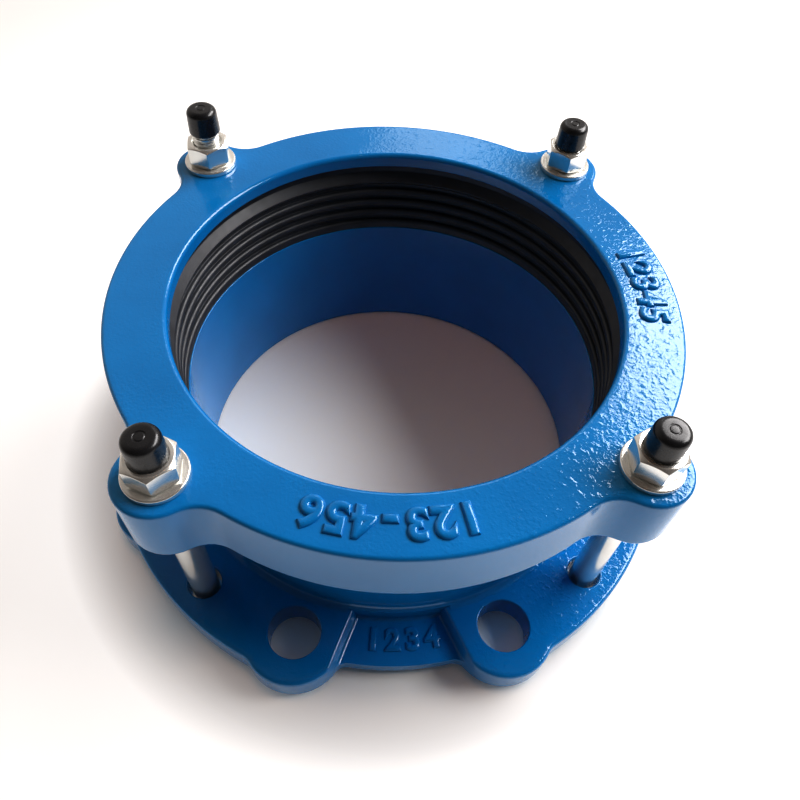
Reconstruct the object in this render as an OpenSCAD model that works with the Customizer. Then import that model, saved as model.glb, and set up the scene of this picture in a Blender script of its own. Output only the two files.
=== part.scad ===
// Wide-range flange adaptor for a DN 150 pipe.
// The pipe axis is Z and the origin is the centre of the sealing face.

/* [Pipe flange] */
// Diameter over the drilled ears
flange_d = 285; // [276:1:300]
// Bolt circle of the pipe flange
bolt_circle_d = 240; // [236:1:246]
// Diameter of the flange bolt holes
bolt_hole_d = 23; // [18:0.5:25]
// Thickness at the ears, sealing face included
flange_h = 18; // [17:0.5:24]
// Diameter of the raised sealing face
face_d = 211; // [208:1:216]
// Height of the raised sealing face
face_h = 3; // [1:0.5:4]
// Height of the thinned panels, sealing face included
panel_h = 11; // [8:0.5:14]
// Diameter of the outline along the thinned panels
panel_d = 250; // [244:1:256]
// Draft of the steps beside the panels
step_draft = 2; // [1:0.5:4]
// Radius between an ear and the panel outline
ear_fillet = 6; // [3:0.5:9]
// Radius between an ear and the web of a clamp bolt
web_fillet = 8; // [3:0.5:12]

/* [Body] */
// Bore for the pipe
bore_d = 188; // [184:0.5:192]
// Wall of the barrel
barrel_wall = 8; // [6:0.5:10]
// Height of the shoulder that carries the gasket
shoulder_z = 68; // [60:1:90]
// Wall of the bell mouth
bell_wall = 5.2; // [4:0.2:8]
// Radius of the hollow curve from barrel to bell
bell_fillet = 10; // [6:1:14]

/* [Gasket] */
// Height of the gasket at rest
gasket_h = 38; // [36:0.5:44]
// Thickness of the gasket from rib crest to back
gasket_t = 12.5; // [10:0.5:16]
// Height of the lead-in above the ribs
lead_in_h = 9; // [7:0.5:11]
// Depth of the grooves between the ribs
groove_depth = 2.5; // [1.5:0.25:3]
// Number of sealing ribs
rib_count = 3; // [2:1:4]

/* [End ring] */
// Thickness of the lip that covers the gasket
lip_h = 7; // [5:0.5:10]
// Height of the skirt, top plate included
ring_h = 30; // [28:1:36]
// Wall of the skirt
skirt_wall = 5.5; // [4:0.5:8]
// Thickness of the top plate at the lugs
lug_plate_h = 10; // [7:0.5:14]
// Radius of a lug
lug_r = 16.5; // [15:0.5:20]
// Hollow radius between a lug and the ring
lug_fillet = 15; // [10:1:20]
// Distance that the ring can be drawn down before it meets the bell mouth
ring_travel = 12; // [8:0.5:14]
// Distance from the ring's rim to the axes of the clamp bolts
clamp_offset = 2.5; // [2:0.5:6]

/* [Fasteners] */
// Thread diameter of the clamp bolts
bolt_d = 12; // [10:1:14]
// Size across flats of the bolt heads and nuts
hex_flats = 18; // [17:1:22]
// Height of a bolt head
head_h = 7.5; // [6:0.5:8]
// Height of a nut
nut_h = 10; // [8:0.5:12]
// Outside diameter of a washer
washer_d = 24; // [22:1:28]
// Thickness of a washer
washer_h = 2.5; // [1.5:0.5:3]
// Hole for a clamp bolt in the flange
flange_bolt_hole_d = 15; // [14.5:0.5:17]
// Hole for a clamp bolt in a lug
lug_hole_d = 14; // [13:0.5:16]
// Wall of a thread cap
cap_wall = 1; // [0.8:0.1:2]
// Height of a thread cap
cap_h = 11.2; // [10:0.2:18]
// Lift of the cap that isn't pushed home
cap_lift = 5; // [0:0.5:6]

/* [Hidden] */
$fn = 96;
eps = 0.01;

// Clearances: skirt round the bell, rubber in its seat, thread or cap on a bolt, nut on its washer,
// bolt head in its pocket and washer round a bolt
skirt_gap = 2.5;
seat_gap = 0.3;
thread_gap = 0.05;
nut_gap = 0.05;
pocket_gap = 0.2;
washer_gap = 0.5;

// Angles of the clamp bolts, named as seen from the front
FRONT_LEFT = 225;
FRONT_RIGHT = 315;
BACK_RIGHT = 45;
BACK_LEFT = 135;
clamp_angles = [FRONT_LEFT, FRONT_RIGHT, BACK_RIGHT, BACK_LEFT];
panel_angles = [0, 90, 180, 270];
// An ear lies this far to each side of a panel's middle
ear_turn = 22.5;

// Body of revolution
bore_r = bore_d / 2;
barrel_r = bore_r + barrel_wall;
hub_step = 2;
hub_blend_h = 4;
hub_r = barrel_r + hub_step;
rim_round = 2;
bell_round = 5;
// The flare of the bell ends this far below the gasket
flare_drop = 3;

// Gasket, with its widths counted from the rib crests, which lie just outside the pipe bore
rib_relief = 0.5;
foot_w = 3;
top_w = 5.5;
lead_in_w = 3.8;
lead_in_cone_h = 4.5;
top_cone_h = 10;
foot_lip_h = 3;
rib_r = 1.7;
crest_r = bore_r + rib_relief;
foot_r = crest_r + foot_w;
gasket_r = crest_r + gasket_t;
groove_r = crest_r + groove_depth;
gasket_top_r = crest_r + top_w;
lead_in_r = crest_r + lead_in_w;
gasket_top_z = shoulder_z + gasket_h;
rib_pitch = (gasket_h - lead_in_h - foot_lip_h) / (rib_count + 1);

// Bell mouth and end ring around the gasket
mouth_r = gasket_r + seat_gap;
bell_r = mouth_r + bell_wall;
cavity_r = bell_r + skirt_gap;
ring_r = cavity_r + skirt_wall;
ring_bore_r = crest_r + rib_relief;
ring_top_z = gasket_top_z + seat_gap + lip_h;
ring_bottom_z = ring_top_z - ring_h;
nose_z = gasket_top_z + seat_gap - top_cone_h;
rim_z = nose_z - seat_gap - ring_travel;
mouth_land = 0.5;
seat_cone_h = rim_z - shoulder_z - mouth_land;
ring_edge = 2;

// Clamp bolts: their circle, the web around them and their heights
clamp_r = ring_r + clamp_offset;
web_margin = 15;
web_r = clamp_r + web_margin;
bolt_r = bolt_d / 2;
head_recess = 0.5;
head_seat_z = face_h + head_recess + head_h;
washer_z = ring_top_z;
nut_z = washer_z + washer_h + nut_gap;
cap_z = nut_z + nut_h + seat_gap;
cap_crown = 2;
cap_taper = 0.4;
cap_round = 2.6;
cap_bore_h = cap_h - cap_crown;
bolt_end_z = cap_z + cap_bore_h - seat_gap;
bolt_chamfer = 1.2;
hex_chamfer_h = 1;

// Ears and the steps beside the panels
ear_circle_r = bolt_circle_d / 2;
ear_r = flange_d / 2 - ear_circle_r;
step_inset = 1;
step_half_w = ear_r - step_inset;
// Reach of a cut past the outline, and the depth that joined solids share
reach = flange_d;
overlap = 1;

function polar(r, a) = [r * cos(a), r * sin(a)];

// Area between a corner and a round that touches both of its edges, running on a little behind the corner.
// The edges leave the corner in the directions a and b, less than 180 degrees apart.
module nook(corner, a, b, r) {
  half = abs(b - a) / 2;
  across = (a + b) / 2;
  tangent = r / tan(half);
  middle = corner + polar(r / sin(half), across);
  behind = corner - polar(overlap, across);
  difference() {
    polygon([behind, corner + polar(tangent, a), middle, corner + polar(tangent, b)]);
    translate(middle) circle(r + eps);
  }
}

// Round boss of radius r_boss, centred at distance d on the X axis, with hollow blends on both sides
// to the disc of radius r_disc that it stands out of.
module blended_boss(r_disc, d, r_boss, r_blend) {
  to_disc = r_disc + r_blend;
  to_boss = r_boss + r_blend;
  x = (to_disc * to_disc + d * d - to_boss * to_boss) / (2 * d);
  y = sqrt(to_disc * to_disc - x * x);
  difference() {
    union() {
      translate([d, 0]) circle(r_boss);
      polygon([[0, 0], [x, -y], [d, 0], [x, y]]);
    }
    for (side = [-1, 1])
      translate([x, side * y]) circle(r_blend + eps);
  }
}

module ear_holes() {
  for (p = panel_angles, side = [-1, 1])
    rotate(p + side * ear_turn) translate([ear_circle_r, 0]) circle(d = bolt_hole_d);
}

// Outline of the flange seen from above
module flange_outline() {
  circle(panel_d / 2);
  for (p = panel_angles, side = [-1, 1])
    rotate(p + side * ear_turn) blended_boss(panel_d / 2, ear_circle_r, ear_r, ear_fillet);
  for (c = clamp_angles)
    intersection() {
      union() {
        circle(web_r);
        for (side = [-1, 1])
          rotate(c + side * ear_turn) blended_boss(web_r, ear_circle_r, ear_r, web_fillet);
      }
      rotate(c) polygon([[0, 0], polar(reach, -ear_turn), polar(reach, ear_turn)]);
    }
}

// Space above one side of a panel, bounded by the drafted step along an ear
module panel_side(side) {
  rise = flange_h - panel_h;
  rotate(-side * ear_turn)
    rotate([90, 0, 90])
      linear_extrude(reach)
        polygon([
          [side * step_half_w, panel_h],
          [side * (step_half_w - 2 * step_draft), panel_h + 2 * rise],
          [side * reach, panel_h + 2 * rise],
          [side * reach, panel_h]
        ]);
}

// Space above a panel, between the steps and outside the hub
module panel_recess() {
  difference() {
    intersection() {
      panel_side(1);
      panel_side(-1);
    }
    cylinder(h = flange_h * 3, r = hub_r);
  }
}

// Pocket under the flange that keeps a bolt head from turning
module head_pocket() {
  width = hex_flats + 2 * pocket_gap;
  length = hex_flats / cos(30) + 4 * pocket_gap;
  translate([0, 0, -eps])
    linear_extrude(head_seat_z + eps)
      intersection() {
        circle(length / 2);
        square([width, 2 * length], center = true);
      }
}

// Half section of barrel, hub, bell mouth and sealing face
module body_section() {
  bell_z = shoulder_z - flare_drop;
  flare_z = bell_z - (bell_r - barrel_r);
  difference() {
    union() {
      translate([bore_r, 0]) square([face_d / 2 - bore_r, face_h]);
      translate([bore_r, 0]) square([hub_r - bore_r, flange_h]);
      polygon([
        [bore_r, flange_h - overlap],
        [hub_r, flange_h - overlap],
        [hub_r, flange_h],
        [barrel_r, flange_h + hub_blend_h],
        [barrel_r, flare_z],
        [bell_r, bell_z],
        [bell_r, rim_z],
        [mouth_r, rim_z],
        [mouth_r, shoulder_z + seat_cone_h],
        [foot_r + seat_gap, shoulder_z],
        [bore_r, shoulder_z]
      ]);
      nook([barrel_r, flare_z], -90, 45, bell_fillet);
    }
    nook([bell_r, bell_z], 225, 90, bell_round);
    nook([bell_r, rim_z], 180, 270, rim_round);
  }
}

module flange_body() {
  color([0.07, 0.36, 0.66])
    difference() {
      union() {
        difference() {
          translate([0, 0, face_h])
            linear_extrude(flange_h - face_h) flange_outline();
          for (p = panel_angles) rotate(p) panel_recess();
          translate([0, 0, -eps]) cylinder(h = flange_h + 2 * eps, r = bore_r + overlap);
        }
        rotate_extrude() body_section();
      }
      translate([0, 0, -eps])
        linear_extrude(flange_h + 2 * eps) ear_holes();
      for (c = clamp_angles)
        rotate(c) translate([clamp_r, 0, 0]) {
          head_pocket();
          cylinder(h = flange_h + eps, d = flange_bolt_hole_d);
        }
    }
}

// Ribbed wedge of rubber: a cone below for the bell mouth and a cone above for the end ring
module gasket() {
  color([0.06, 0.06, 0.07])
    translate([0, 0, shoulder_z])
      rotate_extrude() {
        polygon([
          [crest_r, 0],
          [foot_r, 0],
          [gasket_r, seat_cone_h],
          [gasket_r, gasket_h - top_cone_h],
          [gasket_top_r, gasket_h],
          [lead_in_r, gasket_h],
          [lead_in_r, gasket_h - lead_in_h + lead_in_cone_h],
          [crest_r, gasket_h - lead_in_h],
          [groove_r, gasket_h - lead_in_h - groove_depth],
          [groove_r, foot_lip_h + groove_depth],
          [crest_r, foot_lip_h]
        ]);
        for (i = [1 : rib_count])
          translate([crest_r + rib_r, foot_lip_h + i * rib_pitch]) circle(rib_r);
      }
}

// Outline of the end ring seen from above
module ring_outline() {
  circle(ring_r);
  for (c = clamp_angles)
    rotate(c) blended_boss(ring_r, clamp_r, lug_r, lug_fillet);
}

// Half section of the space inside the end ring
module ring_cavity_section() {
  polygon([
    [0, ring_bottom_z - eps],
    [cavity_r, ring_bottom_z - eps],
    [cavity_r, nose_z],
    [gasket_r, nose_z],
    [gasket_top_r, nose_z + top_cone_h],
    [ring_bore_r, nose_z + top_cone_h],
    [ring_bore_r, ring_top_z - ring_edge],
    [ring_bore_r + ring_edge, ring_top_z + eps],
    [0, ring_top_z + eps]
  ]);
}

module end_ring() {
  color([0.09, 0.42, 0.72])
    difference() {
      translate([0, 0, ring_bottom_z])
        linear_extrude(ring_h) ring_outline();
      rotate_extrude() ring_cavity_section();
      for (c = clamp_angles)
        rotate(c) translate([clamp_r, 0, 0]) {
          translate([0, 0, ring_bottom_z - eps])
            cylinder(h = ring_h - lug_plate_h + eps, r = lug_r - skirt_wall);
          cylinder(h = ring_top_z + eps, d = lug_hole_d);
        }
    }
}

// Hexagon prism with a turned chamfer on its upper face, and on its lower face if both is true
module chamfered_hex(h, both) {
  flat_r = hex_flats / 2;
  corner_r = flat_r / cos(30);
  low = both ? hex_chamfer_h : 0;
  low_r = both ? flat_r : corner_r;
  intersection() {
    cylinder(h = h, r = corner_r, $fn = 6);
    rotate_extrude()
      polygon([
        [0, 0],
        [low_r, 0],
        [corner_r + eps, low],
        [corner_r + eps, h - hex_chamfer_h],
        [flat_r, h],
        [0, h]
      ]);
  }
}

module bolt() {
  translate([0, 0, head_seat_z]) mirror([0, 0, 1]) rotate(30) chamfered_hex(head_h, false);
  translate([0, 0, head_seat_z - overlap])
    cylinder(h = bolt_end_z - bolt_chamfer - head_seat_z + overlap, r = bolt_r);
  translate([0, 0, bolt_end_z - bolt_chamfer])
    cylinder(h = bolt_chamfer, r1 = bolt_r, r2 = bolt_r - bolt_chamfer);
}

module bolts() {
  color([0.78, 0.77, 0.72])
    for (c = clamp_angles)
      rotate(c) translate([clamp_r, 0, 0]) bolt();
}

module washers() {
  color([0.82, 0.81, 0.76])
    for (c = clamp_angles)
      rotate(c) translate([clamp_r, 0, washer_z])
        difference() {
          cylinder(h = washer_h, d = washer_d);
          translate([0, 0, -eps]) cylinder(h = washer_h + 2 * eps, r = bolt_r + washer_gap);
        }
}

// Hexagon nut on the bolt at an angle, turned by itself as the spanner left it
module nut(angle, turn) {
  bore = bolt_r + thread_gap;
  countersink = 0.8;
  color([0.80, 0.79, 0.73])
    rotate(angle) translate([clamp_r, 0, nut_z]) rotate(turn)
      difference() {
        chamfered_hex(nut_h, true);
        translate([0, 0, -eps]) cylinder(h = nut_h + 2 * eps, r = bore);
        translate([0, 0, nut_h - countersink])
          cylinder(h = countersink + eps, r1 = bore, r2 = bore + countersink + eps);
        translate([0, 0, -eps])
          cylinder(h = countersink + eps, r1 = bore + countersink + eps, r2 = bore);
      }
}

// Thread cap, pushed over the end of a bolt
module cap(angle, lift) {
  bore = bolt_r + thread_gap;
  foot = bore + cap_wall;
  top = foot - cap_taper;
  color([0.05, 0.05, 0.055])
    rotate(angle) translate([clamp_r, 0, cap_z + lift])
      rotate_extrude()
        difference() {
          polygon([
            [0, cap_bore_h],
            [bore, cap_bore_h],
            [bore, 0],
            [foot, 0],
            [top, cap_h],
            [0, cap_h]
          ]);
          nook([top, cap_h], 180, 270 + atan(cap_taper / cap_h), cap_round);
        }
}

flange_body();
gasket();
end_ring();
bolts();
washers();
nut(FRONT_LEFT, -10);  // nut_front_left
nut(FRONT_RIGHT, 13);  // nut_front_right
nut(BACK_RIGHT, -22);  // nut_back_right
nut(BACK_LEFT, 21);  // nut_back_left
cap(FRONT_LEFT, 0);  // cap_front_left
cap(FRONT_RIGHT, 0);  // cap_front_right
cap(BACK_RIGHT, 0);  // cap_back_right
cap(BACK_LEFT, cap_lift);  // cap_back_left
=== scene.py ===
from math import atan2, ceil, cos, degrees, pi, radians, sin, sqrt, tan

import bpy
from mathutils import Matrix, Vector


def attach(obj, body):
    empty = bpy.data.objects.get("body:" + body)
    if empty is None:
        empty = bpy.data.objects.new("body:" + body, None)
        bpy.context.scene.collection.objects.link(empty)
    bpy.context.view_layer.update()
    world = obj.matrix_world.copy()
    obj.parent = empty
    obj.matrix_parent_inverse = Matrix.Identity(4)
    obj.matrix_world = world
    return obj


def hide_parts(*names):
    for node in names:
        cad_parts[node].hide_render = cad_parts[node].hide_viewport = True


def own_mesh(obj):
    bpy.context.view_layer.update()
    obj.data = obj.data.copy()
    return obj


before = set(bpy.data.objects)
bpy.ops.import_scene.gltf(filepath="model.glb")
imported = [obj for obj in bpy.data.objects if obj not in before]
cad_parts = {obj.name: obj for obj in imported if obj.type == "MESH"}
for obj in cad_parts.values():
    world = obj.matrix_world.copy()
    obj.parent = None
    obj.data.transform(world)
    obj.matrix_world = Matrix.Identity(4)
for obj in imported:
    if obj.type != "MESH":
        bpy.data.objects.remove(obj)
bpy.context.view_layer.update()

# Sizes are in millimetres, as on the drawing, and become metres where a mesh is made
MM = 0.001
FULL_TURN = 2 * pi

# Points closer than this are one, and the same for a hexagon before its edges are softened
MERGE = 0.002 * MM
HEX_MERGE = 0.02 * MM

# Steps round a turned body: casting, gasket, hole or washer, chamfer, cap, bolt and thread
ROUND_STEPS = 256
GASKET_STEPS = 288
HOLE_STEPS = 72
CHAMFER_STEPS = 96
CAP_STEPS = 64
BOLT_STEPS = 48
THREAD_STEPS = 32

# Strip of a plate's faces that is kept inside its rounded edge
RIM_STRIP = 3.4

# Flange plate with its eight ears
PLATE_LOW = 3
PLATE_TOP = 18
PANEL_TOP = 11
PANEL_R = 125
WEB_R = 138
EAR_CIRCLE_R = 120
EAR_R = 22.5
EAR_TURN = 22.5
EAR_BLEND = 6
WEB_BLEND = 8
EAR_HOLE_R = 11.5
STEP_HALF = 21.5
STEP_DRAFT = 2
STEP_FOOT = 2
STEP_BROW = 1.6
PLATE_EDGE_LOW = 1.6
PLATE_EDGE_TOP = 2
CLAMP_HOLE_R = 7.5
POCKET_GAP = 0.2
FACE_R = 105.5

# Barrel and bell mouth
BORE_R = 94
BARREL_R = 102
HUB_R = 104
FLARE_LOW = 54.5
BELL_LOW = 65
BELL_R = 112.5
MOUTH_R = 107.3
MOUTH_LAND = 0.5
RIM_Z = 84
SEAT_FOOT_R = 97.8
SHOULDER_Z = 68

# End ring with its four lugs
RING_R = 120.5
RING_BORE_R = 95
RING_LOW = 83.3
RING_TOP = 113.3
LIP_LOW = 106.3
NOSE_Z = 96.3
CAVITY_R = 115
CLAMP_R = 123
LUG_R = 16.5
LUG_BLEND = 15
LUG_POCKET_R = 11
LUG_POCKET_TOP = 103.3
LUG_HOLE_R = 7
RING_EDGE_LOW = 1.5
RING_EDGE_TOP = 1.6

# Gasket, drawn as it sits when the ring is down
GASKET_TOP = 106
GASKET_R = 107
GASKET_TOP_R = 100
LEAD_IN_R = 98.3
LEAD_IN_LOW = 101.5
LEAD_IN_FOOT = 97
GROOVE_TOP = 94.5
BACK_LOW = 90.3
BACK_HIGH = 91.6
CREST_R = 94.5
GROOVE_R = 97
GROOVE_EDGE = 0.3
RIB_R = 1.7
RIB_HEIGHTS = (77.5, 84, 90.5)
FOOT_TOP = 72.4
FOOT_R = 97.5
FOOT_MIDDLE_R = 96

# Fasteners. The plain shank is a little wider than the thread, which runs out into it
BOLT_R = 6
SHANK_R = 6.06
BOLT_END = 135.05
END_CHAMFER = 1.2
END_CHAMFER_H = 2.2
HEAD_LOW = 3.5
HEAD_TOP = 11
HEX_FLATS = 18
HEX_CHAMFER = 0.55
HEX_SOFTNESS = 0.3
THREAD_PITCH = 1.75
THREAD_DEPTH = 0.95
THREAD_ROOT_R = BOLT_R - THREAD_DEPTH
THREAD_CORE_R = THREAD_ROOT_R + 0.05
THREAD_LOW = 98
THREAD_FIT_R = BOLT_R + 0.05
WASHER_BORE_R = BOLT_R + 0.5
WASHER_R = 12
WASHER_TOP = 115.8
NUT_LOW = 115.85
NUT_TOP = 125.85
CAP_LOW = 126.15
CAP_H = 11.2
CAP_CROWN = 2
CAP_WALL = 1
CAP_TOP_WALL = 0.6
CAP_ROUND = 2.6

# Cast digits: shares of their height, how far they are flattened, and the straight foot of their sides
DIGIT_SIZE = 1.38
DIGIT_ROUND = 0.135
DIGIT_INSET = 0.042
DIGIT_FLATTEN = 0.8
DIGIT_FOOT = 0.05

# Floor and the point that the lights face, in metres
FLOOR_SIZE = 40
LIGHT_AIM_Z = 0.06

# Camera fitted to the photograph: place, three turns in degrees and focal length
CAMERA_PLACE = (-19.36, -213.93, 330.2)
CAMERA_YAW = -6.33
CAMERA_PITCH = 36.17
CAMERA_ROLL = 4.52
CAMERA_LENS = 32.22

# Clamp bolts: name, angle, turn of the nut, lift of the cap
CLAMPS = (
    ("front_left", 225, -10, 0),
    ("front_right", 315, 13, 0),
    ("back_right", 45, -22, 0),
    ("back_left", 135, 21, 5),
)
CLAMP_ANGLES = [angle for name, angle, turn, lift in CLAMPS]
PANEL_ANGLES = (0, 90, 180, 270)
EAR_ANGLES = [a + side * EAR_TURN for a in PANEL_ANGLES for side in (-1, 1)]


def leave_edit():
    """Goes back to object mode with nothing selected."""
    active = bpy.context.view_layer.objects.active
    if active and active.mode == "EDIT":
        bpy.ops.object.mode_set(mode="OBJECT")
    bpy.ops.object.select_all(action="DESELECT")


def take(piece):
    """Makes one piece the only selected one."""
    leave_edit()
    bpy.context.view_layer.objects.active = piece
    piece.select_set(True)


def edit(piece):
    take(piece)
    bpy.ops.object.mode_set(mode="EDIT")
    bpy.ops.mesh.select_all(action="SELECT")


def polar(r, angle):
    return Vector((r * cos(radians(angle)), r * sin(radians(angle))))


class Pen:
    """Draws a chain of edges by extruding and spinning one vertex, in the plan or in a half section."""

    def __init__(self, name, start, height=None):
        self.flat = height is not None
        self.height = height or 0
        self.at = Vector(start[:2])
        leave_edit()
        bpy.ops.mesh.primitive_plane_add(size=MM)
        self.piece = bpy.context.object
        self.piece.name = name
        bpy.ops.object.mode_set(mode="EDIT")
        bpy.ops.mesh.select_mode(type="VERT")
        bpy.ops.mesh.select_all(action="SELECT")
        bpy.ops.mesh.merge(type="CENTER")
        bpy.ops.transform.translate(value=self.place(self.at))

    def place(self, point):
        x, y = point
        spot = (x, y, self.height) if self.flat else (x, 0, y)
        return Vector(spot) * MM

    def line(self, point):
        goal = Vector(point[:2])
        if (goal - self.at).length > 1e-5:
            move = self.place(goal) - self.place(self.at)
            bpy.ops.mesh.extrude_region_move(TRANSFORM_OT_translate={"value": move})
            self.at = goal

    def arc(self, centre, turn, longest=2.6, widest=9):
        """Swings by an angle in degrees, counted from the first axis to the second."""
        centre = Vector(centre[:2])
        arm = self.at - centre
        run = radians(abs(turn)) * arm.length
        if run < 1e-5:
            return
        steps = max(ceil(run / longest), ceil(abs(turn) / widest))
        axis = (0, 0, 1) if self.flat else (0, -1, 0)
        bpy.ops.mesh.spin(steps=steps, angle=-radians(turn), center=self.place(centre), axis=axis)
        self.at = centre + Matrix.Rotation(radians(turn), 2) @ arm

    def along(self, corners):
        """Follows corners of two places and, where it is given, a rounding radius."""
        for i, corner in enumerate(corners):
            point = Vector(corner[:2])
            if len(corner) < 3 or i + 1 == len(corners):
                self.line(point)
                continue
            before = (self.at - point).normalized()
            after = (Vector(corners[i + 1][:2]) - point).normalized()
            half = before.angle(after) / 2
            reach = corner[2] / tan(half)
            centre = point + (before + after).normalized() * (corner[2] / sin(half))
            self.line(point + before * reach)
            side = before.x * after.y - before.y * after.x
            turn = 180 - 2 * degrees(half)
            self.arc(centre, -turn if side > 0 else turn, longest=1.5, widest=15)


def tidy_mesh():
    """Merges doubled points and turns the faces outwards."""
    bpy.ops.mesh.select_all(action="SELECT")
    bpy.ops.mesh.remove_doubles(threshold=MERGE)
    bpy.ops.mesh.normals_make_consistent(inside=False)


def turned(name, corners, closed=True, steps=ROUND_STEPS):
    """Body of revolution about Z from the corners of its half section."""
    pen = Pen(name, corners[0])
    pen.along(corners[1:])
    if closed:
        pen.line(corners[0])
    bpy.ops.mesh.select_all(action="SELECT")
    bpy.ops.mesh.spin(steps=steps, angle=FULL_TURN, center=(0, 0, 0), axis=(0, 0, 1))
    tidy_mesh()
    leave_edit()
    return pen.piece


def pick_edges(piece, test):
    """Selects edges by their two ends, in millimetres, and the normals beside them. Stays in edit mode."""
    edit(piece)
    bpy.ops.mesh.select_mode(type="EDGE")
    bpy.ops.mesh.select_all(action="DESELECT")
    bpy.ops.object.mode_set(mode="OBJECT")
    points = [v.co / MM for v in piece.data.vertices]
    beside = {}
    for face in piece.data.polygons:
        for key in face.edge_keys:
            beside.setdefault(key, []).append(face.normal.copy())
    for e in piece.data.edges:
        ends = [points[v] for v in e.vertices]
        e.select = test(ends, beside.get(e.key, []))
    bpy.ops.object.mode_set(mode="EDIT")


def level(ends, height):
    return all(abs(point.z - height) < 0.01 for point in ends)


def fill_rims(piece, heights):
    """Closes the flat area between the open rims at each height."""
    for height in heights:
        pick_edges(piece, lambda ends, normals: len(normals) == 1 and level(ends, height))
        bpy.ops.mesh.fill(use_beauty=True)
    tidy_mesh()
    leave_edit()


def join(first, *others):
    take(first)
    for piece in others:
        piece.select_set(True)
    bpy.ops.object.join()
    return first


def set_round(tool, radius, angles):
    """Copies a mesh to its places around the axis and joins the copies."""
    placed = []
    for angle in angles:
        take(tool)
        bpy.ops.object.duplicate()
        copy = bpy.context.object
        spot = polar(radius, angle) * MM
        copy.location = (spot.x, spot.y, 0)
        copy.rotation_euler.z = radians(angle)
        placed.append(copy)
    name = tool.name
    bpy.data.objects.remove(tool)
    take(placed[0])
    for copy in placed:
        copy.select_set(True)
    bpy.ops.object.transform_apply(location=True, rotation=True, scale=True)
    joined = join(*placed) if len(placed) > 1 else placed[0]
    joined.name = name
    leave_edit()
    return joined


def combine(piece, tool, operation="DIFFERENCE"):
    """Cuts a tool out of a piece, or joins or trims the piece with it."""
    take(piece)
    change = piece.modifiers.new("combine", "BOOLEAN")
    change.operation = operation
    change.solver = "EXACT"
    change.object = tool
    bpy.ops.object.modifier_apply(modifier=change.name)
    bpy.data.objects.remove(tool)


def even_shading(piece, angle=32):
    """Smooth rounds between flat faces that stay flat, on a closed mesh without slivers."""
    edit(piece)
    bpy.ops.mesh.remove_doubles(threshold=MERGE)
    bpy.ops.mesh.dissolve_degenerate(threshold=MERGE)
    bpy.ops.mesh.select_all(action="SELECT")
    bpy.ops.mesh.fill_holes(sides=8)
    bpy.ops.mesh.select_all(action="SELECT")
    bpy.ops.mesh.normals_make_consistent(inside=False)
    leave_edit()
    take(piece)
    bpy.ops.object.shade_smooth_by_angle(angle=radians(angle))
    weigh = piece.modifiers.new("weigh", "WEIGHTED_NORMAL")
    weigh.keep_sharp = True
    weigh.weight = 100
    bpy.ops.object.modifier_apply(modifier=weigh.name)
    leave_edit()


def drill(name, r, low, high, edge_low, edge_high, clear=0.02):
    """Drill with a flared shank at both faces of a plate, which leaves rounded hole mouths."""
    wide = r + 3
    beyond = 3
    return turned(name, (
        (0, low - beyond),
        (wide, low - beyond),
        (wide, low - clear),
        (r, low - clear, edge_low),
        (r, high + clear, edge_high),
        (wide, high + clear),
        (wide, high + beyond),
        (0, high + beyond),
    ), steps=HOLE_STEPS)


def blend_centre(r_disc, d, r_boss, r_blend):
    """Centre of the hollow round between a disc and a boss at distance d along the first axis."""
    to_disc = r_disc + r_blend
    to_boss = r_boss + r_blend
    x = (to_disc ** 2 + d ** 2 - to_boss ** 2) / (2 * d)
    return Vector((x, sqrt(to_disc ** 2 - x ** 2)))


def boss_outline(pen, angle, d, r_boss, before, after):
    """Draws a boss with the hollow rounds on its two sides, each given as disc radius and round radius."""
    turns = []
    for r_disc, r_blend in (before, after):
        c = blend_centre(r_disc, d, r_boss, r_blend)
        at_disc = degrees(atan2(c.y, c.x))
        at_boss = degrees(atan2(c.y, d - c.x))
        turns.append((c, at_disc, at_boss))
    spin = Matrix.Rotation(radians(angle), 2)
    (first, disc_1, boss_1), (last, disc_2, boss_2) = turns
    pen.arc(spin @ Vector((first.x, -first.y)), -(180 - disc_1 - boss_1))
    pen.arc(polar(d, angle), 360 - boss_1 - boss_2)
    pen.arc(spin @ last, -(180 - disc_2 - boss_2))


def four_times():
    """Repeats a drawn quarter outline round the axis and makes it one face."""
    bpy.ops.mesh.select_all(action="SELECT")
    bpy.ops.mesh.spin(steps=4, angle=FULL_TURN, dupli=True, center=(0, 0, 0), axis=(0, 0, 1))
    bpy.ops.mesh.select_all(action="SELECT")
    bpy.ops.mesh.remove_doubles(threshold=MERGE)
    bpy.ops.mesh.edge_face_add()


def rim_plate(piece, low, top, edge_low, edge_top):
    """Raises an outline to a plate with rounded edges that is still open in the middle."""
    bpy.ops.mesh.extrude_region_move(TRANSFORM_OT_translate={"value": (0, 0, (top - low) * MM)})
    bpy.ops.mesh.select_mode(type="FACE")
    bpy.ops.mesh.select_all(action="SELECT")
    bpy.ops.mesh.normals_make_consistent(inside=False)
    bpy.ops.mesh.select_all(action="DESELECT")
    bpy.ops.object.mode_set(mode="OBJECT")
    for face in piece.data.polygons:
        face.select = abs(face.normal.z) > 0.9
    bpy.ops.object.mode_set(mode="EDIT")
    bpy.ops.mesh.inset(thickness=RIM_STRIP * MM, use_individual=True)
    bpy.ops.mesh.delete(type="FACE")
    for height, radius in ((low, edge_low), (top, edge_top)):
        def corner(ends, normals):
            steep = sorted(abs(n.z) for n in normals)
            return level(ends, height) and len(steep) == 2 and steep[0] < 0.5 < 0.9 < steep[1]
        pick_edges(piece, corner)
        bpy.ops.mesh.bevel(offset=radius * MM, segments=4, affect="EDGES", clamp_overlap=False)
    leave_edit()


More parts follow.
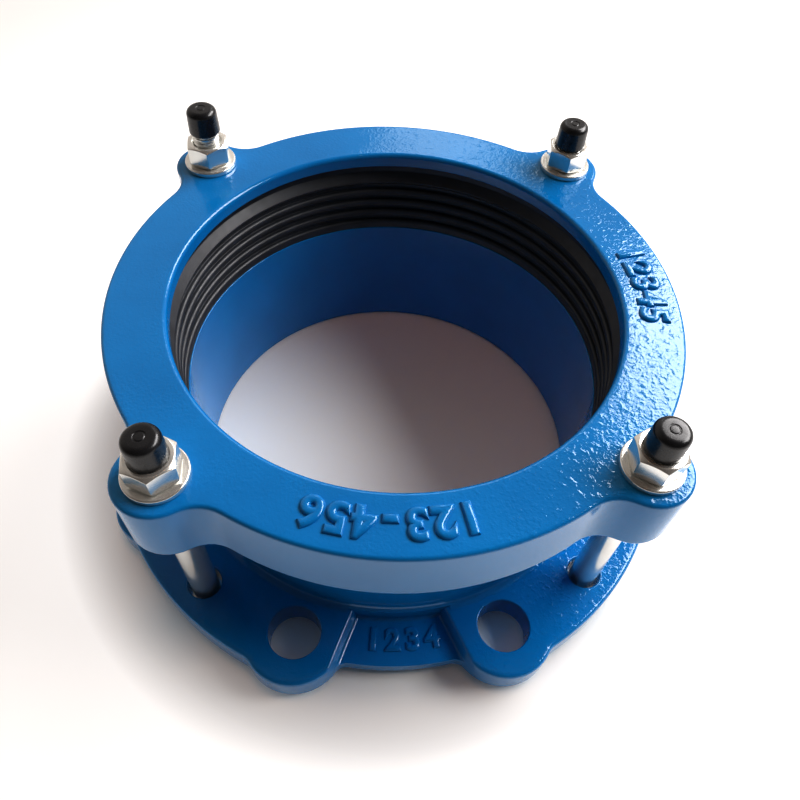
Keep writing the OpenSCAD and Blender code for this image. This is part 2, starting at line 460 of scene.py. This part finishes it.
def flange_body():
    """Casting: plate with ears and thinned panels, barrel and bell mouth."""
    web_round = blend_centre(WEB_R, EAR_CIRCLE_R, EAR_R, WEB_BLEND)
    panel_round = blend_centre(PANEL_R, EAR_CIRCLE_R, EAR_R, EAR_BLEND)
    web_turn = EAR_TURN - degrees(atan2(web_round.y, web_round.x))
    panel_turn = 2 * (EAR_TURN - degrees(atan2(panel_round.y, panel_round.x)))
    pen = Pen("flange_body_casting", polar(WEB_R, -45), PLATE_LOW)
    web = (WEB_R, WEB_BLEND)
    panel = (PANEL_R, EAR_BLEND)
    pen.arc((0, 0), web_turn)
    boss_outline(pen, -EAR_TURN, EAR_CIRCLE_R, EAR_R, web, panel)
    pen.arc((0, 0), panel_turn)
    boss_outline(pen, EAR_TURN, EAR_CIRCLE_R, EAR_R, panel, web)
    pen.arc((0, 0), web_turn)
    four_times()
    casting = pen.piece
    rim_plate(casting, PLATE_LOW, PLATE_TOP, PLATE_EDGE_LOW, PLATE_EDGE_TOP)

    barrel = turned("barrel", (
        (BARREL_R + 7, PLATE_TOP),
        (BARREL_R, PLATE_TOP, 5),
        (BARREL_R, FLARE_LOW, 10),
        (BELL_R, BELL_LOW, 5),
        (BELL_R, RIM_Z, 2),
        (MOUTH_R, RIM_Z, 0.8),
        (MOUTH_R, RIM_Z - MOUTH_LAND),
        (SEAT_FOOT_R, SHOULDER_Z, 0.8),
        (BORE_R, SHOULDER_Z, 0.3),
        (BORE_R, 0, 1.2),
        (FACE_R, 0, 0.8),
        (FACE_R, PLATE_LOW, 1),
        (FACE_R + 2, PLATE_LOW),
    ), closed=False)
    join(casting, barrel)
    fill_rims(casting, (PLATE_TOP, PLATE_LOW))

    combine(casting, panel_cutters())
    ear_drill = drill("drill", EAR_HOLE_R, PLATE_LOW, PLATE_TOP, 1, 0.7)
    combine(casting, set_round(ear_drill, EAR_CIRCLE_R, EAR_ANGLES))
    bolt_drill = drill("bolt_drill", CLAMP_HOLE_R, PLATE_LOW, PLATE_TOP, 0.8, 1.2)
    combine(casting, set_round(bolt_drill, CLAMP_R, CLAMP_ANGLES))
    combine(casting, set_round(head_pocket(), CLAMP_R, CLAMP_ANGLES))
    even_shading(casting)
    return casting


def panel_cutters():
    """Wedges that thin the flange between two ears, with a hollow foot and a rounded brow."""
    foot = STEP_FOOT
    brow = STEP_BROW
    rise = PLATE_TOP - PANEL_TOP
    profile = []
    for t in (0, 20, 40, 60, 80):
        profile.append((-foot * (1 - sin(radians(t))), PANEL_TOP + foot * (1 - cos(radians(t)))))
    slope = STEP_DRAFT / rise
    profile.append((slope * (rise - brow - foot), PLATE_TOP - brow))
    for t in (20, 40, 60, 80):
        out = slope * (rise - brow - foot) + brow * (1 - cos(radians(t)))
        profile.append((out, PLATE_TOP - brow + brow * sin(radians(t))))
    over = profile[-1][0] + 1.2
    profile.append((over, PLATE_TOP + 0.06))
    profile.append((over, PLATE_TOP + 8))

    lean = sin(radians(EAR_TURN))
    tip = (STEP_HALF - profile[0][0]) / lean
    pen = Pen("panel_cutter", (tip, 0), PANEL_TOP)
    beyond_rim = 130
    far = Vector((tip, 0)) + polar(beyond_rim, EAR_TURN)
    pen.line(far)
    pen.line((far.x, -far.y))
    pen.line((tip, 0))
    bpy.ops.mesh.select_all(action="SELECT")
    bpy.ops.mesh.remove_doubles(threshold=MERGE)
    bpy.ops.mesh.edge_face_add()
    for (out_a, z_a), (out_b, z_b) in zip(profile, profile[1:]):
        move = ((out_a - out_b) / lean * MM, 0, (z_b - z_a) * MM)
        bpy.ops.mesh.extrude_region_move(TRANSFORM_OT_translate={"value": move})
    tidy_mesh()
    cutter = pen.piece
    hub = turned("hub", (
        (0, PANEL_TOP - 2),
        (HUB_R + foot + 1, PANEL_TOP - 2),
        (HUB_R + foot + 1, PANEL_TOP),
        (HUB_R, PANEL_TOP, foot),
        (HUB_R, PLATE_TOP + 12),
        (0, PLATE_TOP + 12),
    ))
    combine(cutter, hub)
    return set_round(cutter, 0, PANEL_ANGLES)


def head_pocket():
    """Slot under the flange that keeps a bolt head from turning."""
    leave_edit()
    depth = HEAD_TOP + 2
    radius = HEX_FLATS / 2 / cos(pi / 6) + 2 * POCKET_GAP
    bpy.ops.mesh.primitive_cylinder_add(
        vertices=64, radius=radius * MM, depth=depth * MM, location=(0, 0, (HEAD_TOP - depth / 2) * MM))
    pocket = bpy.context.object
    pocket.name = "head_pocket"
    bpy.ops.object.transform_apply(location=True, rotation=True, scale=True)
    half = (HEX_FLATS / 2 + POCKET_GAP) * MM
    for side in (-1, 1):
        edit(pocket)
        bpy.ops.mesh.bisect(
            plane_co=(side * half, 0, 0), plane_no=(side, 0, 0), use_fill=True, clear_outer=True)
    leave_edit()
    return pocket


def end_ring():
    """Casting: top plate with four lugs, skirt and the cone that presses the gasket."""
    lug_round = blend_centre(RING_R, CLAMP_R, LUG_R, LUG_BLEND)
    plain = 45 - degrees(atan2(lug_round.y, lug_round.x))
    disc = (RING_R, LUG_BLEND)
    pen = Pen("end_ring_casting", polar(RING_R, 0), RING_LOW)
    pen.arc((0, 0), plain)
    boss_outline(pen, 45, CLAMP_R, LUG_R, disc, disc)
    pen.arc((0, 0), plain)
    four_times()
    casting = pen.piece
    rim_plate(casting, RING_LOW, RING_TOP, RING_EDGE_LOW, RING_EDGE_TOP)
    inside = turned("inside", (
        (RING_BORE_R + 5, RING_TOP),
        (RING_BORE_R, RING_TOP, 2),
        (RING_BORE_R, LIP_LOW, 0.8),
        (GASKET_TOP_R, LIP_LOW, 0.5),
        (GASKET_R, NOSE_Z, 0.8),
        (CAVITY_R, NOSE_Z, 2),
        (CAVITY_R, RING_LOW, 1.2),
        (CAVITY_R + 1.5, RING_LOW),
    ), closed=False)
    join(casting, inside)
    fill_rims(casting, (RING_TOP, RING_LOW))
    pocket = turned("pocket", (
        (0, RING_LOW - 2),
        (LUG_POCKET_R, RING_LOW - 2),
        (LUG_POCKET_R, LUG_POCKET_TOP, 2),
        (0, LUG_POCKET_TOP),
    ), steps=HOLE_STEPS)
    combine(casting, set_round(pocket, CLAMP_R, CLAMP_ANGLES))
    lug_drill = drill("lug_drill", LUG_HOLE_R, LUG_POCKET_TOP, RING_TOP, 0.5, 0.8)
    combine(casting, set_round(lug_drill, CLAMP_R, CLAMP_ANGLES))
    even_shading(casting)
    return casting


def gasket():
    """Rubber wedge ring with sealing ribs, which fills its two seats when it is squeezed."""
    corners = [
        (FOOT_R, SHOULDER_Z, 0.8),
        (GASKET_R, BACK_LOW, 0.6),
        (GASKET_R, BACK_HIGH, 0.6),
        (GASKET_TOP_R, GASKET_TOP, 0.6),
        (LEAD_IN_R, GASKET_TOP, 0.4),
        (LEAD_IN_R, LEAD_IN_LOW, 0.8),
        (CREST_R, LEAD_IN_FOOT, 0.8),
        (GROOVE_R, GROOVE_TOP, 0.5),
    ]
    crest_round = RIB_R - 0.02
    for z in reversed(RIB_HEIGHTS):
        corners += [
            (GROOVE_R, z + RIB_R, GROOVE_EDGE),
            (CREST_R, z + RIB_R, crest_round),
            (CREST_R, z - RIB_R, crest_round),
            (GROOVE_R, z - RIB_R, GROOVE_EDGE),
        ]
    under = (FOOT_MIDDLE_R, SHOULDER_Z)
    corners += [
        (GROOVE_R, FOOT_TOP, GROOVE_EDGE),
        (CREST_R, FOOT_TOP, RIB_R),
        (CREST_R, SHOULDER_Z),
        under,
    ]
    ring = turned("gasket_rubber_ring", [under] + corners, closed=False, steps=GASKET_STEPS)
    even_shading(ring, 50)
    return ring


def hexagon(name, low, top, chamfer_low, chamfer_top, turn=0):
    """Hexagon prism with turned chamfers where they are asked for."""
    leave_edit()
    corner = HEX_FLATS / 2 / cos(pi / 6)
    bpy.ops.mesh.primitive_cylinder_add(
        vertices=6, radius=corner * MM, depth=(top - low) * MM, location=(0, 0, (top + low) / 2 * MM),
        rotation=(0, 0, radians(turn - 30)))
    prism = bpy.context.object
    prism.name = name
    bpy.ops.object.transform_apply(location=True, rotation=True, scale=True)
    flat = HEX_FLATS / 2 - HEX_CHAMFER
    slope = tan(radians(30))
    wide = corner + 0.5
    drop = (wide - flat) * slope
    corners = [(0, low)]
    corners += [(flat, low), (wide, low + drop)] if chamfer_low else [(wide, low)]
    corners += [(wide, top - drop), (flat, top)] if chamfer_top else [(wide, top)]
    corners.append((0, top))
    combine(prism, turned("chamfer", corners, steps=CHAMFER_STEPS), "INTERSECT")
    return prism


def soften(piece, width, angle=25, segments=2):
    """Takes the sharpness off all edges of a piece."""
    edit(piece)
    bpy.ops.mesh.remove_doubles(threshold=HEX_MERGE)
    leave_edit()
    take(piece)
    bevel = piece.modifiers.new("soften", "BEVEL")
    bevel.width = width * MM
    bevel.segments = segments
    bevel.limit_method = "ANGLE"
    bevel.angle_limit = radians(angle)
    bevel.use_clamp_overlap = False
    bpy.ops.object.modifier_apply(modifier=bevel.name)


def bolts():
    """Four hexagon bolts with rolled threads at the upper end."""
    head = hexagon("bolts_with_heads", HEAD_LOW, HEAD_TOP, True, False, turn=30)
    soften(head, HEX_SOFTNESS)
    in_head = HEAD_TOP - 1
    shank = turned("shank", (
        (0, in_head),
        (SHANK_R, in_head),
        (SHANK_R, HEAD_TOP + 2),
        (SHANK_R, THREAD_LOW - 2),
        (SHANK_R, THREAD_LOW + 1.7, 0.3),
        (THREAD_CORE_R, THREAD_LOW + 2.7),
        (THREAD_CORE_R, BOLT_END, 0.2),
        (0, BOLT_END),
    ), steps=BOLT_STEPS)
    combine(shank, helix(), "UNION")
    combine(head, shank, "UNION")
    even_shading(head, 35)
    return set_round(head, CLAMP_R, CLAMP_ANGLES)


def helix():
    """Ridge of the thread, swept up the bolt and trimmed to the chamfered end."""
    sunk = THREAD_ROOT_R - 0.6
    rise = THREAD_PITCH
    crest_low = THREAD_LOW + rise * 0.38
    crest_top = THREAD_LOW + rise * 0.5
    flank_top = THREAD_LOW + rise * 0.88
    pen = Pen("thread", (sunk, THREAD_LOW))
    pen.along((
        (THREAD_ROOT_R, THREAD_LOW),
        (BOLT_R, crest_low),
        (BOLT_R, crest_top),
        (THREAD_ROOT_R, flank_top),
        (sunk, flank_top),
        (sunk, THREAD_LOW),
    ))
    bpy.ops.mesh.select_all(action="SELECT")
    bpy.ops.mesh.remove_doubles(threshold=MERGE)
    bpy.ops.mesh.edge_face_add()
    ridge = pen.piece
    take(ridge)
    screw = ridge.modifiers.new("screw", "SCREW")
    screw.axis = "Z"
    screw.angle = FULL_TURN
    screw.screw_offset = rise * MM
    screw.iterations = ceil((BOLT_END - THREAD_LOW) / rise) + 1
    screw.steps = THREAD_STEPS
    screw.render_steps = THREAD_STEPS
    screw.use_merge_vertices = True
    bpy.ops.object.modifier_apply(modifier=screw.name)
    edit(ridge)
    bpy.ops.mesh.fill_holes(sides=8)
    tidy_mesh()
    wide = BOLT_R + 1
    below = THREAD_LOW - 5
    trim = turned("trim", (
        (0, below),
        (wide, below),
        (wide, BOLT_END - END_CHAMFER_H),
        (BOLT_R - END_CHAMFER, BOLT_END),
        (0, BOLT_END),
    ), steps=BOLT_STEPS)
    combine(ridge, trim, "INTERSECT")
    return ridge


def washers():
    """Four flat washers with rolled edges, on the lugs."""
    disc = turned("flat_washers", (
        (WASHER_BORE_R, RING_TOP),
        (WASHER_R, RING_TOP, 0.5),
        (WASHER_R, WASHER_TOP, 0.7),
        (WASHER_BORE_R, WASHER_TOP, 0.4),
        (WASHER_BORE_R, RING_TOP),
    ), steps=HOLE_STEPS)
    even_shading(disc)
    return set_round(disc, CLAMP_R, CLAMP_ANGLES)


def nut(name, angle, turn):
    """Hexagon nut with countersunk mouths, turned as the spanner left it."""
    piece = hexagon("nut_" + name + "_hexagon", NUT_LOW, NUT_TOP, True, True, turn=turn)
    bore = THREAD_FIT_R
    flared = bore + 1.9
    beyond = 1
    mouth = 0.9
    tap = turned("tap", (
        (0, NUT_LOW - beyond),
        (flared, NUT_LOW - beyond),
        (bore, NUT_LOW + mouth),
        (bore, NUT_TOP - mouth),
        (flared, NUT_TOP + beyond),
        (0, NUT_TOP + beyond),
    ), steps=BOLT_STEPS)
    combine(piece, tap)
    soften(piece, HEX_SOFTNESS)
    even_shading(piece, 28)
    return set_round(piece, CLAMP_R, (angle,))


def cap(name, angle, lift):
    """Push-on cap with a small moulded ring sunk into its crown."""
    low = CAP_LOW + lift
    top = low + CAP_H
    crown = top - CAP_CROWN
    bore = THREAD_FIT_R
    sunk = top - 0.2
    soft = 0.15
    piece = turned("cap_" + name + "_cover", (
        (0, crown),
        (bore, crown, 0.5),
        (bore, low),
        (bore + CAP_WALL, low, 0.3),
        (bore + CAP_TOP_WALL, top, CAP_ROUND),
        (2.3, top, soft),
        (2.1, sunk, soft),
        (1.8, sunk, soft),
        (1.5, top, soft),
        (0, top),
    ), closed=False, steps=CAP_STEPS)
    even_shading(piece, 40)
    return set_round(piece, CLAMP_R, (angle,))


def cast_number(name, digits, radius, middle, pitch, height, top, outwards):
    """Raised plain digits along an arc, cast on with the iron."""
    made = []
    facing = -90 if outwards else 90
    for i, digit in enumerate(digits):
        step = (i - (len(digits) - 1) / 2) * degrees(pitch / radius)
        angle = middle + (-step if outwards else step)
        leave_edit()
        bpy.ops.object.text_add()
        glyph = bpy.context.object
        text = glyph.data
        text.body = digit
        text.align_x = "CENTER"
        text.align_y = "CENTER"
        text.size = height * DIGIT_SIZE * MM
        text.extrude = DIGIT_FOOT * MM
        text.bevel_depth = height * DIGIT_ROUND * MM
        text.bevel_resolution = 4
        text.offset = -height * DIGIT_INSET * MM
        text.resolution_u = 8
        bpy.ops.object.convert(target="MESH")
        spot = polar(radius, angle)
        glyph.location = (spot.x * MM, spot.y * MM, top * MM)
        glyph.rotation_euler.z = radians(angle + facing)
        glyph.scale.z = DIGIT_FLATTEN
        bpy.ops.object.transform_apply(location=True, rotation=True, scale=True)
        made.append(glyph)
    number = join(*made)
    number.name = name
    edit(number)
    tidy_mesh()
    leave_edit()
    take(number)
    bpy.ops.object.shade_smooth_by_angle(angle=radians(50))
    leave_edit()
    return number


# Materials: node helpers first, then one function for each finish


def new_material(name):
    mat = bpy.data.materials.new(name)
    mat.use_nodes = True
    tree = mat.node_tree
    shader = tree.nodes["Principled BSDF"]
    coord = tree.nodes.new("ShaderNodeTexCoord")
    return mat, tree, shader, coord.outputs["Object"]


def noise(tree, where, scale, detail=2.0, roughness=0.5):
    node = tree.nodes.new("ShaderNodeTexNoise")
    node.inputs["Scale"].default_value = scale
    node.inputs["Detail"].default_value = detail
    node.inputs["Roughness"].default_value = roughness
    tree.links.new(where, node.inputs["Vector"])
    return node.outputs["Fac"]


def ramp(tree, value, stops):
    node = tree.nodes.new("ShaderNodeValToRGB")
    points = node.color_ramp.elements
    while len(points) < len(stops):
        points.new(0.5)
    for point, (place, colour) in zip(points, stops):
        point.position = place
        point.color = (*colour, 1)
    tree.links.new(value, node.inputs["Fac"])
    return node.outputs["Color"]


def spread(tree, value, low, high, start=0.3, end=0.7, soft=False):
    node = tree.nodes.new("ShaderNodeMapRange")
    if soft:
        node.interpolation_type = "SMOOTHSTEP"
    node.inputs["From Min"].default_value = start
    node.inputs["From Max"].default_value = end
    node.inputs["To Min"].default_value = low
    node.inputs["To Max"].default_value = high
    tree.links.new(value, node.inputs["Value"])
    return node.outputs["Result"]


def times(tree, first, second):
    node = tree.nodes.new("ShaderNodeMath")
    node.operation = "MULTIPLY"
    tree.links.new(first, node.inputs[0])
    tree.links.new(second, node.inputs[1])
    return node.outputs[0]


def bump(tree, height, strength, distance, normal=None):
    node = tree.nodes.new("ShaderNodeBump")
    if isinstance(strength, float):
        node.inputs["Strength"].default_value = strength
    else:
        tree.links.new(strength, node.inputs["Strength"])
    node.inputs["Distance"].default_value = distance * MM
    tree.links.new(height, node.inputs["Height"])
    if normal is not None:
        tree.links.new(normal, node.inputs["Normal"])
    return node.outputs["Normal"]


def blue_coating():
    """Thick glossy epoxy over sand-cast iron, with orange peel on top that is stronger on the right."""
    mat, tree, shader, where = new_material("blue_coating")
    shade = noise(tree, where, 28, 3)
    colour = ramp(tree, shade, ((0.3, (0.003, 0.205, 0.500)), (0.7, (0.004, 0.238, 0.568))))
    tree.links.new(colour, shader.inputs["Base Color"])
    patch = noise(tree, where, 60, 2)
    tree.links.new(spread(tree, patch, 0.06, 0.11), shader.inputs["Roughness"])
    shader.inputs["IOR"].default_value = 1.6
    lumps = spread(tree, noise(tree, where, 380, 2, 0.5), 0, 1, 0.45, 0.85, soft=True)
    speck = noise(tree, where, 850, 2)
    coord = tree.nodes.new("ShaderNodeTexCoord")
    facing = tree.nodes.new("ShaderNodeSeparateXYZ")
    tree.links.new(coord.outputs["Normal"], facing.inputs[0])
    upward = facing.outputs["Z"]
    place = tree.nodes.new("ShaderNodeSeparateXYZ")
    tree.links.new(where, place.inputs[0])
    rough_side = spread(tree, place.outputs["X"], 0.3, 1, -0.02, 0.07)
    patches = spread(tree, noise(tree, where, 45, 2), 0.1, 0.9)
    grain = times(tree, patches, spread(tree, upward, 0.35, 1, 0.5, 0.9))
    swell = times(tree, spread(tree, upward, 0.12, 0.6, 0.5, 0.9), rough_side)
    low = bump(tree, lumps, swell, 0.18)
    fine = bump(tree, speck, grain, 0.14, low)
    tree.links.new(fine, shader.inputs["Normal"])
    return mat


def gasket_rubber():
    """Satin black rubber, as it leaves the mould."""
    mat, tree, shader, where = new_material("gasket_rubber")
    shade = noise(tree, where, 90, 3)
    colour = ramp(tree, shade, ((0.3, (0.027, 0.030, 0.037)), (0.7, (0.040, 0.045, 0.056))))
    tree.links.new(colour, shader.inputs["Base Color"])
    tree.links.new(spread(tree, noise(tree, where, 250, 2), 0.38, 0.48), shader.inputs["Roughness"])
    shader.inputs["Specular IOR Level"].default_value = 0.7
    tree.links.new(bump(tree, noise(tree, where, 900, 2), 0.15, 0.1), shader.inputs["Normal"])
    return mat


def zinc_steel():
    """Bright zinc plate, a little uneven in its shine."""
    mat, tree, shader, where = new_material("zinc_steel")
    shade = noise(tree, where, 90, 1)
    colour = ramp(tree, shade, ((0.3, (0.81, 0.80, 0.765)), (0.7, (0.88, 0.88, 0.85))))
    tree.links.new(colour, shader.inputs["Base Color"])
    shader.inputs["Metallic"].default_value = 0.78
    tree.links.new(spread(tree, noise(tree, where, 70, 1), 0.17, 0.25), shader.inputs["Roughness"])
    return mat


def cap_plastic():
    """Soft black plastic with a faint grain."""
    mat, tree, shader, where = new_material("cap_plastic")
    shade = noise(tree, where, 200, 2)
    colour = ramp(tree, shade, ((0.3, (0.012, 0.0125, 0.0145)), (0.7, (0.020, 0.021, 0.0245))))
    tree.links.new(colour, shader.inputs["Base Color"])
    tree.links.new(spread(tree, noise(tree, where, 320, 2), 0.22, 0.3), shader.inputs["Roughness"])
    shader.inputs["Specular IOR Level"].default_value = 0.7
    tree.links.new(bump(tree, noise(tree, where, 1400, 2), 0.1, 0.06), shader.inputs["Normal"])
    return mat


def floor_with_painted_glow():
    """Pale floor with painted light, by distance in metres: paler under the object and darker beyond,
    where a painted glow brightens it around the object but not under its bore.
    """
    mat, tree, shader, where = new_material("floor_with_painted_glow")
    reach = tree.nodes.new("ShaderNodeVectorMath")
    reach.operation = "LENGTH"
    tree.links.new(where, reach.inputs[0])
    distance = reach.outputs["Value"]
    # Floor colour paler under the object and darker beyond, where the painted glow makes up the brightness
    colour = ramp(tree, distance, ((0.133, (0.88, 0.89, 0.86)), (0.155, (0.60, 0.60, 0.59))))
    tree.links.new(colour, shader.inputs["Base Color"])
    shader.inputs["Roughness"].default_value = 0.6
    # Painted light: emission that rises with distance from the object and stays low at the flange's edge
    # and under the bore
    levels = (
        (0.1, 0), (0.12, 0.03), (0.133, 0.03), (0.15, 0.24), (0.172, 0.58),
        (0.25, 0.52), (0.36, 0.42), (0.55, 0.3), (0.8, 0.25))
    painted_glow = ramp(tree, distance, [(place, (amount, amount, amount)) for place, amount in levels])
    tree.links.new(painted_glow, shader.inputs["Emission Strength"])
    return mat


def finish(piece, body, material, slot, *nodes):
    """Gives a piece its finish, the body that it moves with and the CAD nodes that it stands for."""
    piece.data.materials.clear()
    piece.data.materials.append(material)
    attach(piece, body)
    if nodes:
        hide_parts(*nodes)


blue = blue_coating()
rubber = gasket_rubber()
zinc = zinc_steel()
plastic = cap_plastic()

finish(flange_body(), "base", blue, "blue_coating", "flange_body")
finish(end_ring(), "ring", blue, "blue_coating", "end_ring")
finish(bolts(), "base", zinc, "zinc_steel", "bolts")
finish(washers(), "ring", zinc, "zinc_steel", "washers")
for name, angle, turn, lift in CLAMPS:
    finish(nut(name, angle, turn), "nut_" + name, zinc, "zinc_steel", "nut_" + name)
    finish(cap(name, angle, lift), "cap_" + name, plastic, "cap_plastic", "cap_" + name)

rubber_ring = gasket()
finish(rubber_ring, "base", rubber, "gasket_rubber", "gasket")
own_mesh(rubber_ring)

front_number = cast_number(
    "ring_front_digits", "123-456", radius=107, middle=266, pitch=9.0, height=11.5,
    top=RING_TOP, outwards=True)
side_number = cast_number(
    "ring_side_digits", "12345", radius=107.5, middle=2.5, pitch=9.3, height=11.5,
    top=RING_TOP, outwards=True)
panel_number = cast_number(
    "panel_digits", "1234", radius=114, middle=270.7, pitch=8.8, height=9.5,
    top=PANEL_TOP, outwards=False)
finish(front_number, "ring", blue, "blue_coating")
finish(side_number, "ring", blue, "blue_coating")
finish(panel_number, "base", blue, "blue_coating")

# Floor, light and camera
leave_edit()
bpy.ops.mesh.primitive_plane_add(size=FLOOR_SIZE)
floor = bpy.context.object
floor.name = "floor"
floor.data.materials.append(floor_with_painted_glow())

world = bpy.data.worlds.new("studio")
bpy.context.scene.world = world
world.use_nodes = True
sky = world.node_tree.nodes["Background"]
toward = world.node_tree.nodes.new("ShaderNodeTexCoord")
split = world.node_tree.nodes.new("ShaderNodeSeparateXYZ")
world.node_tree.links.new(toward.outputs["Generated"], split.inputs[0])
back = spread(world.node_tree, split.outputs["Y"], 0.12, 1, -0.4, 0.5)
high = spread(world.node_tree, split.outputs["Z"], 0.62, 0.2, 0.65, 0.95)
world.node_tree.links.new(times(world.node_tree, back, high), sky.inputs["Strength"])
sky.inputs["Color"].default_value = (1, 0.93, 0.87, 1)


def soft_light(name, azimuth, elevation, distance, width, height, power, colour):
    """Window that faces the object."""
    lamp = bpy.data.lights.new(name, "AREA")
    lamp.shape = "RECTANGLE"
    lamp.size = width
    lamp.size_y = height
    lamp.energy = power
    lamp.color = colour
    holder = bpy.data.objects.new(name, lamp)
    bpy.context.scene.collection.objects.link(holder)
    flat = polar(distance * cos(radians(elevation)), azimuth)
    place = Vector((flat.x, flat.y, distance * sin(radians(elevation)) + LIGHT_AIM_Z))
    aim = Vector((0, 0, LIGHT_AIM_Z)) - place
    holder.matrix_world = Matrix.Translation(place) @ aim.to_track_quat("-Z", "Y").to_matrix().to_4x4()
    return holder


soft_light(
    "window", azimuth=21, elevation=42, distance=1.6, width=1.60, height=0.68, power=32,
    colour=(0.95, 0.93, 0.93))
soft_light(
    "back_window", azimuth=81, elevation=34, distance=1.6, width=0.30, height=0.42, power=0.75,
    colour=(0.92, 0.97, 1.0))
lamp_above = soft_light(
    "lamp", azimuth=0, elevation=88, distance=1.5, width=0.3, height=0.3, power=2.6,
    colour=(1.0, 0.50, 0.22))
lamp_above.visible_glossy = False

view = bpy.data.cameras.new("photo_view")
view.sensor_width = 36
view.lens = CAMERA_LENS
view.clip_start = 0.01
camera = bpy.data.objects.new("photo_view", view)
bpy.context.scene.collection.objects.link(camera)
yaw = Matrix.Rotation(radians(CAMERA_YAW), 4, "Z")
pitch = Matrix.Rotation(radians(CAMERA_PITCH), 4, "X")
roll = Matrix.Rotation(radians(CAMERA_ROLL), 4, "Z")
camera.matrix_world = Matrix.Translation(Vector(CAMERA_PLACE) * MM) @ yaw @ pitch @ roll
bpy.context.scene.camera = camera
look = bpy.context.scene.view_settings
look.view_transform = "Standard"
look.exposure = 0.33
look.gamma = 0.72
